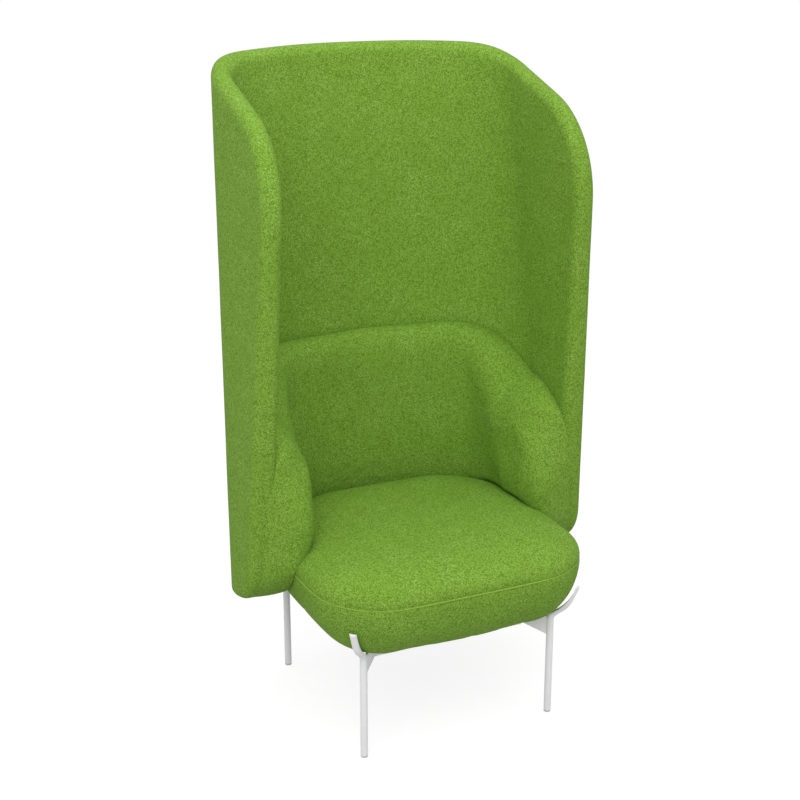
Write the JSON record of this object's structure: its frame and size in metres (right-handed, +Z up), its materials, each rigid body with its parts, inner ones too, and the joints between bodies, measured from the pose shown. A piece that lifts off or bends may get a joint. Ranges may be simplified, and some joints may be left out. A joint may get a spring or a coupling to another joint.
{
  "type": "acoustic high back lounge chair",
  "caption": "Lounge chair with a tall padded screen wrapped round back and sides, a padded tub of back and arms, a crowned seat cushion and slender tube legs.",
  "frame": {"origin": "on the floor, in the middle of the chair's plan box", "axes": "+Z up, the sitter faces -Y, the sitter's left is +X"},
  "size_m": [0.8206, 0.7063, 1.4324],
  "materials": {
    "upholstery": "lime green melange woven wool",
    "seam_piping": "thin piping in the same cloth",
    "dust_felt": "black non-woven felt",
    "foam": "cut upholstery foam",
    "plywood": "raw bent plywood",
    "frame_white": "fine white powder coat on steel",
    "bracket_steel": "bare flat bar",
    "zinc_steel": "zinc plated",
    "glide_plastic": "light grey nylon"
  },
  "bodies": {
    "root": {"front_left_leg": "frame_white", "front_left_gusset": "frame_white", "front_left_seat_tab": "frame_white", "front_left_glide": "glide_plastic", "front_right_leg": "frame_white", "front_right_gusset": "frame_white", "front_right_seat_tab": "frame_white", "front_right_glide": "glide_plastic", "rear_left_leg": "frame_white", "rear_left_gusset": "frame_white", "rear_left_seat_tab": "frame_white", "rear_left_glide": "glide_plastic", "rear_right_leg": "frame_white", "rear_right_gusset": "frame_white", "rear_right_seat_tab": "frame_white", "rear_right_glide": "glide_plastic", "front_rail": "frame_white", "rear_rail": "frame_white", "left_rail": "frame_white", "right_rail": "frame_white", "left_bracket": "bracket_steel", "right_bracket": "bracket_steel", "rear_left_bracket": "bracket_steel", "rear_right_bracket": "bracket_steel", "seat_bolts": "zinc_steel", "seat_threaded_inserts": "zinc_steel", "bracket_screws": "zinc_steel", "shell_bolts": "zinc_steel", "shell_threaded_inserts": "zinc_steel", "seat_base_board": "plywood", "tub_board": "plywood", "screen_core_board": "plywood", "seat_dust_cover": "dust_felt", "seat_foam": "foam", "tub_foam": "foam", "screen_outer_padding": "foam", "screen_inner_padding": "foam", "seat_upper_cover": "upholstery", "seat_lower_cover": "upholstery", "tub_cover": "upholstery", "screen_cover": "upholstery", "seat_piping": "seam_piping"}
  },
  "joints": []
}
